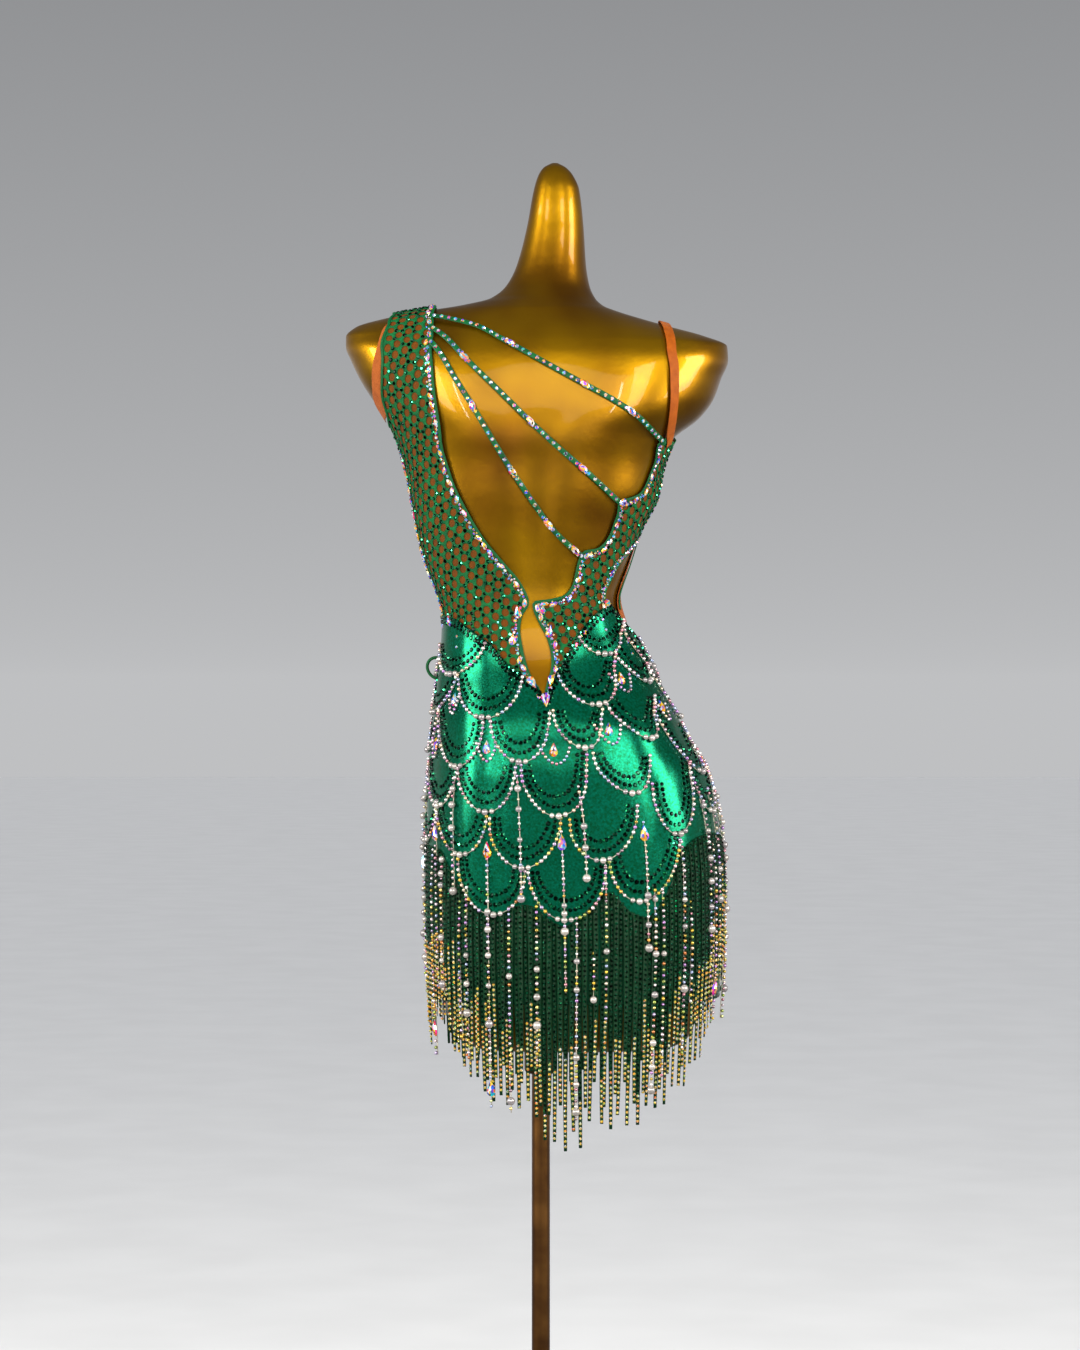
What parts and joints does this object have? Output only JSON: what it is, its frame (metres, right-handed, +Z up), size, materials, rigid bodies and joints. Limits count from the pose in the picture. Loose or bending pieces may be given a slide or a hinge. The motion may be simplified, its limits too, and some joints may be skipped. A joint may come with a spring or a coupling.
{
  "type": "salsa dance dress on dress form",
  "caption": "One-shoulder beaded dance dress with a strapped open back, net bodice, swagged skirt and long stone fringe, worn on a limbless dress form with a pole and round base.",
  "frame": {"origin": "centre of the base plate's underside, on the floor", "axes": "+Z up; +Y towards the back of the dress; +X towards the wearer's left"},
  "size_m": [0.4412, 0.34, 1.588],
  "materials": {
    "stand_metal": "bronze-coloured satin metal",
    "gold_shell": "glossy gold-lacquered fibreglass shell",
    "foil_lycra": "emerald foil lycra with a wet shine",
    "green_net": "emerald hexagonal net over nude mesh, set with small stones",
    "nude_mesh": "matt nude stretch mesh and elastic",
    "dark_binding": "dark green lycra binding",
    "stones": "faceted foiled crystal stones on green lycra",
    "beads": "iridescent cut beads and pearls"
  },
  "bodies": {
    "root": {"base_plate": "stand_metal", "base_flange": "stand_metal", "stand_pole": "stand_metal", "form_socket": "stand_metal", "dress_form": "gold_shell", "skirt": "foil_lycra", "bodice_back_left": "green_net", "bodice_back_right": "green_net", "bodice_front": "green_net", "armhole_facing": "nude_mesh", "waist_insert": "nude_mesh", "waist_binding": "dark_binding", "back_strap_upper": "stones", "back_strap_middle": "stones", "back_strap_lower": "stones", "nude_strap": "nude_mesh", "hip_loop": "dark_binding", "garland_1": "beads", "garland_2": "beads", "garland_3": "beads", "garland_4": "beads", "garland_5": "beads", "garland_6": "beads", "garland_7": "beads", "garland_8": "beads", "garland_9": "beads", "fringe_strips": "stones", "bead_strings": "beads"}
  },
  "joints": []
}
